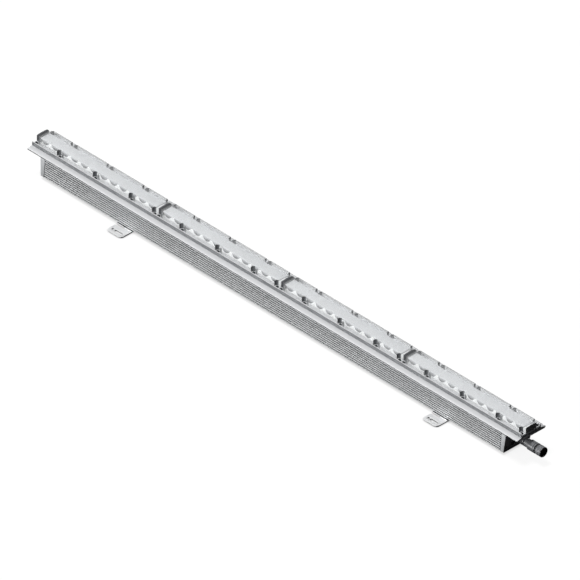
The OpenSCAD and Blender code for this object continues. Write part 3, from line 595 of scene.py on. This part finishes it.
@dataclass
class LampHead:
    """The winged base plate and the channel on it, drawn as extrusions with rounded corners."""

    tip_rise: float = 2.0
    tip_height: float = 1.9
    channel_wall: float = 1.8
    channel_floor: float = 2.0
    corner: float = 0.5
    # A face is an end, or a wing's edge, when its normal has more than this share along X or Y
    end_facing: float = 0.5
    edge_facing: float = 0.9

    def wing_outline(self) -> Profile:
        """The base plate's outline across the light."""
        low, high = span_mm("wing_plate")
        channel_low, channel_high = span_mm("lamp_channel")
        half = (high.y - low.y) / 2
        channel_half = (channel_high.y - channel_low.y) / 2
        tip = low.z + self.tip_rise
        return both_sides([(half - self.tip_rise, low.z), (half, tip), (half, tip + self.tip_height),
                           (channel_half, high.z), (channel_half, channel_low.z)])

    def channel_outline(self) -> Profile:
        """The channel's outline across the light."""
        low, high = span_mm("lamp_channel")
        half = (high.y - low.y) / 2
        inner = half - self.channel_wall
        floor = low.z + self.channel_floor
        return both_sides([(half, low.z), (half, high.z), (inner, high.z), (inner, floor)])

    def extrusion(self, node: str, outline: Profile, finish: Finish) -> Piece:
        """Draws an outline out along the light, in a CAD node's place, and dresses it."""
        low, high = span_mm(node)
        shape = swept([rounded(outline, self.corner)], low.x, high.x, (low.y + high.y) / 2)
        return dress(drawn(f"{node}_extrusion", shape), finish, node)

    def build(self) -> None:
        """Builds the two extrusions and marks their faces in painted shade and painted light."""
        wing = self.extrusion("wing_plate", self.wing_outline(), WING_METAL)
        # Painted shade on the wing's long edges
        mark_faces(wing, WING_EDGE_SHADE, lambda at, normal: abs(normal.y) > self.edge_facing)
        channel = self.extrusion("lamp_channel", self.channel_outline(), CHANNEL_SHADE_METAL)
        low, high = span_mm("lamp_channel")
        middle = (low.y + high.y) / 2
        inside = (high.y - low.y) / 2 - self.corner / 2
        # Painted light on the channel's rims and inside; its outer walls and ends keep the painted shade
        mark_faces(channel, CHANNEL_LIT_METAL, lambda at, normal: abs(normal.x) < self.end_facing and
                   at.z > low.z + self.corner and (at.z > high.z - self.corner or abs(at.y - middle) < inside))


@dataclass
class LampModules:
    """The four modules: boards, chips, optics, covers, seals and the covers' screws."""

    count: int = 4
    optics: int = 12
    pitch: float = 24.13
    optic_radius: float = 9.2
    optic_round: float = 0.7
    web: float = 1.5
    peg_radius: float = 1.5
    peg_steps: int = 16
    chip: float = 3.5
    edge: float = 0.35
    screw_radius: float = 3.25
    screw_height: float = 1.6
    screw_side: float = 18.0
    screw_end: float = 4.9
    screw_share: float = 0.2923
    washer_height: float = 0.45
    socket: float = 1.3
    socket_depth: float = 1.0
    # The share of an optic's radius over which the painted shade on its end fades
    crescent: float = 0.6
    # A face is square to an axis, a cover's wall or an optic's flank when its normal has more than this share along it
    square_facing: float = 0.8
    wall_facing: float = 0.35
    flank_facing: float = 0.2

    def half_round(self, length: float) -> Shape:
        """One optic across the row: a rounded half cylinder, with the middle of its flat top at the origin."""
        arc_steps = 28
        # The shares of the rounding that go into the length and the top, and the inset of its middle ring
        into_length, into_top, halfway = 0.6, 0.3, 0.35
        radius = self.optic_radius
        corners = [(radius * math.cos(a), radius * math.sin(a))
                   for a in (math.pi + math.pi * k / arc_steps for k in range(arc_steps + 1))]
        outline = rounded(corners, self.optic_round, 1)
        rings = []
        for end, inset in ((-1, 1), (-1, halfway), (-1, 0), (1, 0), (1, halfway), (1, 1)):
            shrink = 1 - self.optic_round * inset / radius
            y = end * (length / 2 - self.optic_round * (1 - inset) * into_length)
            drop = self.optic_round * inset * into_top
            rings.append([Vector((x * shrink, y, z * shrink - drop)) for x, z in outline])
        return ring_solid(rings)

    def web_solid(self, i: int) -> Shape:
        """The strip that joins one module's optics, and its pegs."""
        low, high = span_mm(f"optic_strip_{i}")
        x, y = (low.x + high.x) / 2, (low.y + high.y) / 2
        half_y = (high.y - low.y) / 2 - self.edge
        underside, top = high.z - self.web, high.z - self.edge / 2
        outline = rounded([(-half_y, underside), (half_y, underside), (half_y, top), (-half_y, top)], self.edge)
        shape = swept([outline], low.x, high.x, y)
        for k in range(1, self.optics):
            at = x + (k - self.optics / 2) * self.pitch
            ring_of_faces(shape, [circle(self.peg_radius, z, self.peg_steps, at, y) for z in (low.z, underside)])
        return shape

    def chip_unit(self) -> Shape:
        """One chip: a chamfered package with a low phosphor dome."""
        low, high = span_mm("led_row_1")
        height, half = high.z - low.z, self.chip / 2
        # Shares of the height and of the half width
        sides_top, case_top, dome_foot = 0.55, 0.65, 0.6
        case_reach, dome_reach = 0.94, 0.8
        dome_rings, dome_steps = 5, 20
        levels = ((0, half), (height * sides_top, half), (height * case_top, half * case_reach))
        shape = ring_solid([[Vector((x * reach, y * reach, z)) for x, y in ((-1, -1), (1, -1), (1, 1), (-1, 1))]
                            for z, reach in levels])
        foot, rise = height * dome_foot, height * (1 - dome_foot)
        ring_of_faces(shape, [circle(half * dome_reach * math.cos(a), foot + rise * math.sin(a), dome_steps)
                              for a in (math.pi / 2 * k / dome_rings for k in range(dome_rings))])
        return shape

    def screw_unit(self) -> Shape:
        """One cover screw: a washer and a domed head with a hexagon socket, standing on the origin."""
        steps = 24
        sixth = math.pi / 3
        # Shares of the washer's height and radius, of its radius for the head, and of the head's height
        washer_side, washer_rim, head_share, head_side = 0.8, 0.97, 0.86, 0.62
        # The dome's rings, as shares of the head's radius and height
        dome = ((0.93, 0.86), (0.78, 1))

        def hexagon(z: float) -> Ring:
            ring = []
            for a in around(steps):
                reach = self.socket / math.cos((a + sixth / 2) % sixth - sixth / 2)
                ring.append(Vector((reach * math.cos(a), reach * math.sin(a), z)))
            return ring

        washer, top, radius = self.washer_height, self.screw_height, self.screw_radius
        head = radius * head_share
        profile = [(radius, 0), (radius, washer * washer_side), (radius * washer_rim, washer), (head, washer),
                   (head, top * head_side), *((head * reach, top * rise) for reach, rise in dome)]
        return ring_solid([*(circle(reach, z, steps) for reach, z in profile), hexagon(top),
                           hexagon(top - self.socket_depth)])

    def screw_starts(self) -> tuple[Triple, ...]:
        """The first module's screw places, under the heads."""
        cover_low, cover_high = span_mm("module_cover_1")
        head_low, _ = span_mm("wing_plate")
        centre_y = (cover_low.y + cover_high.y) / 2
        length = span_mm("module_cover_2")[0].x - cover_low.x
        quarter = length * self.screw_share
        stations = (self.screw_end, length / 2 - quarter, length / 2, length / 2 + quarter, length - self.screw_end)
        return tuple((head_low.x + x, y, self.flange_top())
                     for y in (centre_y - self.screw_side, centre_y + self.screw_side) for x in stations)

    def flange_top(self) -> float:
        """The Z of the covers' flanges, on which the screws' washers lie."""
        return span_mm("cover_screws")[1].z - self.screw_height

    def optic_row(self, i: int, lens_end_shade: Finish) -> None:
        """Builds one module's optics on their strip, with the painted shade on their ends, and its chips."""
        low, high = span_mm(f"optic_strip_{i}")
        middle_y = (low.y + high.y) / 2
        first = (low.x + high.x) / 2 - (self.optics - 1) / 2 * self.pitch
        row = Repeat(((first, middle_y, high.z),), self.optics, (self.pitch, 0, 0))
        strip = row.make(f"optic_strip_{i}_optics", self.half_round(high.y - low.y), OPTIC_ACRYLIC)
        web = drawn(f"web_{i}", self.web_solid(i))
        dress(join(strip, web), OPTIC_ACRYLIC, f"optic_strip_{i}")
        # Painted shade on the optics' flat ends
        mark_faces(strip, lens_end_shade, lambda at, normal: abs(normal.y) > self.square_facing)
        # Painted shade on the tops and on the last optic's flank towards the plug
        mark_faces(strip, OPTIC_TOP_SHADE, lambda at, normal: normal.z > self.square_facing or
                   (normal.x > self.flank_facing and at.x > high.x - self.pitch / 2))
        strip.visible_shadow = False
        chip_low, _ = span_mm(f"led_row_{i}")
        chips = Repeat(((first, middle_y, chip_low.z),), self.optics, (self.pitch, 0, 0))
        dress(chips.make(f"led_row_{i}_chips", self.chip_unit(), CHIP_PHOSPHOR), CHIP_PHOSPHOR,
              f"led_row_{i}")

    def cover(self, i: int) -> None:
        """Builds one module's cover with painted shade on its end walls, notches and far wall, and its frosted flange.
        """
        low, high = span_mm(f"optic_strip_{i}")
        middle_y = (low.y + high.y) / 2
        flange_top = self.flange_top()
        cover = softened(f"module_cover_{i}", "moulding", self.edge, COVER_POLYCARBONATE)
        # Painted shade on the walls that face along the light
        mark_faces(cover, COVER_WALL_SHADE, lambda at, normal: abs(normal.x) > self.wall_facing and at.z > flange_top)
        # Painted shade on the far wall
        mark_faces(cover, COVER_BACK_SHADE, lambda at, normal: normal.y > self.square_facing and at.z > flange_top and
                   at.y > middle_y)
        mark_faces(cover, COVER_FROSTED, lambda at, normal: at.z < flange_top + self.edge)
        cover.visible_shadow = False

    def build(self) -> None:
        """Builds the modules' pieces and dresses them."""
        module_length = span_mm("module_cover_2")[0].x - span_mm("module_cover_1")[0].x
        top = span_mm("optic_strip_1")[1].z
        lens_end_shade = LensEndShadeFinish("optic_end_painted_shade", "D6D8DA", "CDCFD1", (0.12, 0.20), (3, 3, 3), 0.003, ior=1.49,
                                  haze=0.95, low_mm=top - self.optic_radius * self.crescent, high_mm=top)
        for i in range(1, self.count + 1):
            self.optic_row(i, lens_end_shade)
            self.cover(i)
            softened(f"joint_seal_{i}", "moulding", self.edge, SEAL_SILICONE, steps=3)
            keep_nodes(LAMP_BOARD, f"led_board_{i}")
            keep_nodes(GASKET_SILICONE, f"cover_gasket_{i}")
        screws = Repeat(self.screw_starts(), self.count, (module_length, 0, 0))
        dress(screws.make("cover_screw_heads", self.screw_unit(), BLACK_METAL), BLACK_METAL,
              "cover_screws")


@dataclass
class DriverHousing:
    """The grooved housing, its end plates, gaskets and screws, and what is inside it."""

    top_width: float = 59.0
    low_width: float = 65.6
    corner: float = 2.5
    corner_steps: int = 5
    pitch: float = 4.2
    groove_width: float = 1.8
    groove_depth: float = 2.2
    groove_low: float = 4.5
    grooves: int = 9
    wall: float = 2.5
    lip: float = 0.35
    edge: float = 0.3
    # A face is an end when its normal has more than this share along X
    end_facing: float = 0.5

    def slope(self) -> float:
        """How much half the housing's width shrinks per mm of height."""
        low, high = span_mm("driver_housing")
        return (self.low_width - self.top_width) / 2 / (high.z - low.z)

    def outline(self) -> tuple[Profile, Profile]:
        """The housing's outer and inner outlines across the light."""
        low, high = span_mm("driver_housing")
        slope = self.slope()

        def side_at(z: float) -> float:
            return self.low_width / 2 - (z - low.z) * slope

        centre = self.low_width / 2 - self.corner * (slope + math.sqrt(1 + slope * slope))
        turn = math.pi / 2 + math.atan(slope)
        angles = [turn * k / self.corner_steps - math.pi / 2 for k in range(self.corner_steps + 1)]
        arc = [(centre + self.corner * math.cos(a), low.z + self.corner + self.corner * math.sin(a)) for a in angles]
        rows: Profile = []
        for i in range(self.grooves):
            middle = low.z + self.groove_low + i * self.pitch
            bottom, top = middle - self.groove_width / 2, middle + self.groove_width / 2
            rows += [(side_at(bottom), bottom), (side_at(bottom) - self.groove_depth, bottom),
                     (side_at(top) - self.groove_depth, top), (side_at(top), top)]
        outer = both_sides(arc + rows + [(self.top_width / 2, high.z)])
        floor, roof = low.z + self.wall, high.z - self.wall
        behind = self.groove_depth + self.wall
        inner = both_sides([(side_at(floor) - behind, floor), (side_at(roof) - behind, roof)])
        return rounded(outer, self.lip, 2), inner

    def build(self) -> None:
        """Builds the housing's pieces and dresses them."""
        low, high = span_mm("driver_housing")
        middle = (low.y + high.y) / 2
        piece = drawn("driver_housing_extrusion", swept(self.outline(), low.x, high.x, middle))
        dress(piece, HOUSING_METAL, "driver_housing")
        slope = self.slope()

        def in_groove(at: Vector, normal: Vector) -> bool:
            inwards = self.low_width / 2 - (at.z - low.z) * slope - abs(at.y - middle)
            rows = low.z + self.corner < at.z < high.z - self.wall
            return rows and abs(normal.x) < self.end_facing and self.lip < inwards < self.groove_depth + self.lip

        # Painted shade in the grooves
        mark_faces(piece, GROOVE_SHADE_METAL, in_groove)
        for end in ("left", "right"):
            softened(f"end_plate_{end}", "casting", self.edge, CAST_METAL)
            keep_nodes(GASKET_NEOPRENE, f"end_gasket_{end}")
        keep_nodes(ZINC_METAL, "end_screws", "joining_screws", "base_screws")
        keep_nodes(DRIVER_BOARD, "driver_board")
        keep_nodes(CONTACT_BRASS, "board_standoffs")
        keep_nodes(DRIVER_CASES, "driver_parts")
        keep_nodes(TERMINAL_NYLON, "terminal_blocks")
        keep_nodes(LEAD_VINYL, "output_leads", "input_leads")
        keep_nodes(GASKET_NEOPRENE, "lead_grommet", "gland_seals")


@dataclass
class Connectors:
    """The plug with its strain relief and coupling nut, the receptacle and the vent."""

    ribs: int = 5
    rib_width: float = 2.6
    rib_core: float = 6.6
    collar: float = 9.0
    stem_radius: float = 6.0
    sleeve_radius: float = 7.5
    sleeve_bore: float = 6.3
    nut_bore: float = 7.55
    nut_steps: int = 72
    thread_radius: float = 8.4
    thread_start: float = 8.5
    ring: float = 3.3
    band: float = 3.5
    band_depth: float = 1.1
    rim: float = 1.6
    ridges: int = 24
    ridge_height: float = 0.45
    # The share of the way round that the ridges take, their root's depth in the tube, and their shoulder's drop
    ridge_share: float = 0.52
    ridge_root: float = 0.1
    ridge_shoulder: float = 0.12
    # How far the ridges stay inside the nut's outline
    ridge_gap: float = 0.02
    edge: float = 0.4

    def axis(self) -> Pair:
        """The Y and Z of the connectors' axis."""
        low, high = span_mm("coupling_nut")
        return (low.y + high.y) / 2, (low.z + high.z) / 2

    def relief(self) -> None:
        """Builds the strain relief: a plain core with a collar, and rounded ribs."""
        (y, z), edge = self.axis(), self.edge
        low, high = span_mm("strain_relief")
        radius = (high.y - low.y) / 2
        flange = span_mm("gland_seals")[1].x
        collar = high.x - self.collar
        core = turned([(low.x, 0), (low.x, self.stem_radius), (flange, self.stem_radius),
                       (flange, self.rib_core), (collar, self.rib_core), (collar, radius - edge),
                       (collar + edge, radius), (high.x - edge, radius), (high.x, radius - edge),
                       (high.x, 0)], y, z)
        half = self.rib_width / 2
        rib = [(-half, self.rib_core - edge), (-half, radius - edge), (edge - half, radius),
               (half - edge, radius), (half, radius - edge), (half, self.rib_core - edge)]
        rows = Repeat(((flange + half, y, z),), self.ribs, ((collar - flange) / self.ribs, 0, 0))
        ribs = rows.make("strain_relief_ribs", turned(rib, 0, 0, closed=True), RELIEF_RUBBER)
        dress(join(ribs, drawn("relief_core", core)), RELIEF_RUBBER, "strain_relief")

    def plug(self) -> None:
        """Builds the plug's body and sleeve."""
        (y, z), edge = self.axis(), self.edge
        low, high = span_mm("plug_body")
        radius = (high.y - low.y) / 2
        shoulder = span_mm("plug_insulator")[0].x
        sleeve, bore = self.sleeve_radius, self.sleeve_bore
        profile = [(low.x, 0), (low.x, radius - 2 * edge), (low.x + 2 * edge, radius),
                   (shoulder - edge, radius), (shoulder, radius - edge), (shoulder, sleeve),
                   (high.x - edge, sleeve), (high.x, sleeve - edge), (high.x, bore), (shoulder, bore),
                   (shoulder, 0)]
        dress(drawn("plug_body_moulding", turned(profile, y, z)), CONNECTOR_NYLON, "plug_body")

    def nut(self) -> None:
        """Builds the coupling nut: a tube with a plain ring, a band groove painted black as shade, a ridged grip and a
        plain rim.
        """
        (y, z), edge = self.axis(), self.edge
        low, high = span_mm("coupling_nut")
        radius = (high.y - low.y) / 2
        core = radius - self.ridge_height
        bore, thread, step = self.nut_bore, self.thread_radius, self.thread_start
        band_x = low.x + self.ring
        grip_x = band_x + self.band
        profile = [(low.x, bore), (low.x, radius - edge), (low.x + edge, radius),
                   (band_x - edge, radius), (band_x, radius - edge), (band_x, radius - self.band_depth),
                   (grip_x, radius - self.band_depth), (grip_x, core), (high.x - self.rim - edge, core),
                   (high.x - self.rim, radius), (high.x - edge, radius), (high.x, radius - edge),
                   (high.x, thread + edge / 2), (high.x - edge / 2, thread), (low.x + step, thread),
                   (low.x + step, bore)]
        tube = drawn("nut_tube", turned(profile, y, z, self.nut_steps, closed=True))
        half = math.pi * radius / self.ridges * self.ridge_share
        crown, root = radius - self.ridge_gap, core - self.ridge_root
        shoulder = crown - self.ridge_shoulder
        # The ridge's outline across it, as shares of its half width and as radii
        across = ((-1, root), (-0.75, shoulder), (-0.3, crown), (0.3, crown), (0.75, shoulder), (1, root))
        ridge = ring_solid([[Vector((x, share * half, up)) for share, up in across]
                            for x in (grip_x, high.x - self.rim - edge / 2)])
        ring = Repeat(((0, y, z),), self.ridges, (0, 0, 0), 360 / self.ridges)
        ridges = ring.make("coupling_nut_knurled", ridge, CONNECTOR_NYLON)
        dress(join(ridges, tube), CONNECTOR_NYLON, "coupling_nut", body=Body.NUT)
        # The band's groove takes the black neoprene: painted shade in the recess
        mark_faces(ridges, GASKET_NEOPRENE,
                   lambda at, normal: band_x - edge < at.x < grip_x + edge / 4 and
                   math.hypot(at.y - y, at.z - z) > bore + edge)

    def build(self) -> None:
        """Builds the connectors' pieces and dresses them."""
        self.relief()
        self.plug()
        self.nut()
        softened("receptacle_shell", "moulding", self.edge / 2, CONNECTOR_NYLON)
        softened("vent_plug", "moulding", self.edge, CONNECTOR_NYLON, steps=3)
        keep_nodes(INSERT_NYLON, "plug_insulator", "receptacle_insert")
        keep_nodes(CONTACT_BRASS, "contact_pins")
        keep_nodes(ZINC_METAL, "gland_nuts", "snap_ring")


@dataclass
class HingedFeet:
    """The two folding feet, their bases and pins."""

    edge: float = 0.25
    # How far before the pin's axis the painted shade begins
    shade_from: float = 1.3
    # A face is a sheared end, in painted shade, when its normal has more than this share along X
    end_facing: float = 0.75

    def build(self) -> None:
        """Builds the feet's pieces and dresses them."""
        pin_low, pin_high = span_mm("hinge_pins")
        shade_line = (pin_low.y + pin_high.y) / 2 - self.shade_from
        for end, body in (("left", Body.FOOT_LEFT), ("right", Body.FOOT_RIGHT)):
            foot = softened(f"foot_{end}", "pressing", self.edge, FOOT_METAL, body)
            # Painted shade behind the hinge's axis, under the housing, and on the ends
            mark_faces(foot, FOOT_SHADE_METAL, lambda at, normal: at.y > shade_line or abs(normal.x) > self.end_facing)
            base = softened(f"hinge_base_{end}", "pressing", self.edge, FOOT_METAL)
            mark_faces(base, FOOT_SHADE_METAL, lambda at, normal: at.y > shade_line)
        keep_nodes(ZINC_METAL, "hinge_pins")


@dataclass(frozen=True)
class Lamp:
    """One far lamp. Softness is the angle in degrees over which its light comes, towards the way it travels."""

    name: str
    strength: float
    softness: float
    towards: Triple

    def build(self) -> None:
        """Adds the lamp to the scene."""
        data = bpy.data.lights.new(self.name, "SUN")
        data.energy = self.strength
        data.angle = math.radians(self.softness)
        made = new_object(self.name, data)
        made.rotation_euler = Vector(self.towards).to_track_quat("-Z", "Y").to_euler()


# From above, a little from the far end
KEY_LAMP = Lamp("key", 2.0, 20, (0.28, 0.10, -1.0))
# Nearly level, onto the feet's side
SIDE_LAMP = Lamp("side", 2.1, 20, (0.55, 1.0, -0.14))
# Level, onto the back
BACK_LAMP = Lamp("back", 2.0, 30, (0.25, -1.0, -0.01))


@dataclass
class Studio:
    """The floor, the soft light and the camera.

    Attributes:
        azimuth: The camera's heading in degrees, where 0 looks along +Y.
        elevation: The camera's height above the horizon in degrees.
        px_per_mm: The photograph's scale.
        aim: What the middle of the picture shows, in mm: X and Y from the head's middle, Z from the underside.
        floor_tones: The floor's sRGB hex colours for bounced light and for the camera.
        glow: The share of its own white in what the camera sees of it.
        contact_mm: How near a piece has to be for the painted contact shade to darken the floor.
        contact_levels: The white's level close to the pieces and away from them.
        sky_side: The direction in which the surroundings are brightest.
        sky_full: How far a direction has to lie that way to be fully bright.
    """

    azimuth: float = 46.05
    elevation: float = 35.26
    px_per_mm: float = 0.5784
    aim: Triple = (8.6, 0.0, 46.3)
    distance_m: float = 4.0
    floor_m: float = 12.0
    floor_gap_m: float = 0.0006
    floor_tones: tuple[str, str] = ("2C2C2C", "FBFBFA")
    glow: float = 0.86
    contact_mm: float = 6.0
    contact_levels: Pair = (0.4, 1.05)
    sky_side: Triple = (-0.93, -0.10, 0.35)
    sky_full: float = 0.75
    sky_least: float = 0.01
    sky_strength: float = 0.5

    def camera(self) -> None:
        """Places the camera at the photograph's angle and scale."""
        low, high = span_mm("wing_plate")
        middle = (low + high) / 2
        target = Vector((middle.x + self.aim[0], middle.y + self.aim[1], self.aim[2])) * MM
        turn, tilt = math.radians(self.azimuth), math.radians(self.elevation)
        ahead = Vector((-math.sin(turn) * math.cos(tilt), math.cos(turn) * math.cos(tilt), -math.sin(tilt)))
        data = bpy.data.cameras.new("camera")
        data.type = "ORTHO"
        data.ortho_scale = PHOTO_SIDE_PX / self.px_per_mm * MM
        data.clip_end = 4 * self.distance_m
        made = new_object("camera", data)
        made.location = target - ahead * self.distance_m
        made.rotation_euler = ahead.to_track_quat("-Z", "Y").to_euler()
        bpy.context.scene.camera = made

    def floor(self) -> None:
        """Lays the pale floor, white to the camera but for the light's shadow and a painted contact shade near the
        pieces.
        """
        half = self.floor_m / 2
        mesh = bpy.data.meshes.new("floor")
        mesh.from_pydata([(x * half, y * half, -self.floor_gap_m) for x, y in ((-1, -1), (1, -1), (1, 1), (-1, 1))],
                         [], [(0, 1, 2, 3)])
        made = new_object("floor", mesh)
        paper = bpy.data.materials.new("matte_paper_sweep")
        tree = empty_tree(paper)
        add = partial(add_node, tree)
        to_camera = add("ShaderNodeLightPath").outputs["Is Camera Ray"]
        bounced, seen = self.floor_tones
        tone = add("ShaderNodeMix", {"data_type": "RGBA", MIX_FIRST: linear(bounced), MIX_SECOND: linear(seen)},
                   {0: to_camera})
        matte = add("ShaderNodeBsdfDiffuse", None, {"Color": tone.outputs[MIX_RESULT]})
        openness = add("ShaderNodeAmbientOcclusion", {"Distance": self.contact_mm * MM})
        level = fitted(tree, openness.outputs["AO"], self.contact_levels)
        glow = add("ShaderNodeEmission", {"Color": linear("FFFFFF")}, {"Strength": level})
        share = add("ShaderNodeMath", {"operation": "MULTIPLY", 1: self.glow}, {0: to_camera})
        mixed = add("ShaderNodeMixShader", None,
                    {0: share.outputs["Value"], 1: matte.outputs["BSDF"], 2: glow.outputs["Emission"]})
        add("ShaderNodeOutputMaterial", None, {"Surface": mixed.outputs["Shader"]})
        made.data.materials.append(paper)

    def world(self) -> None:
        """Fills the surroundings: bright above and beyond the far end, dim towards the plug's end."""
        made = bpy.data.worlds.new("soft box")
        bpy.context.scene.world = made
        tree = empty_tree(made)
        add = partial(add_node, tree)
        coords = add("ShaderNodeTexCoord")
        lit = add("ShaderNodeVectorMath", {"operation": "DOT_PRODUCT", 1: self.sky_side},
                  {0: coords.outputs["Generated"]})
        level = fitted(tree, lit.outputs["Value"], (self.sky_least, 1), (0, self.sky_full))
        sky = add("ShaderNodeBackground", {"Strength": self.sky_strength}, {"Color": level})
        white = add("ShaderNodeBackground", {"Color": linear("FFFFFF"), "Strength": 1.0})
        path = add("ShaderNodeLightPath")
        mixed = add("ShaderNodeMixShader", None, {0: path.outputs["Is Camera Ray"], 1: sky.outputs["Background"],
                                                  2: white.outputs["Background"]})
        add("ShaderNodeOutputWorld", None, {"Surface": mixed.outputs["Shader"]})

    def build(self) -> None:
        """Builds the studio."""
        bpy.context.scene.view_settings.view_transform = "Standard"
        self.camera()
        self.floor()
        self.world()
        for lamp in (KEY_LAMP, SIDE_LAMP, BACK_LAMP):
            lamp.build()


def main() -> None:
    """Builds the studio and every sub-assembly."""
    logging.basicConfig(level=logging.INFO, format="%(message)s")
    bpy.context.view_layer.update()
    for part in (Studio(), LampHead(), LampModules(), DriverHousing(), Connectors(), HingedFeet()):
        LOG.info("building %s", type(part).__name__)
        part.build()


if __name__ == "__main__":
    main()
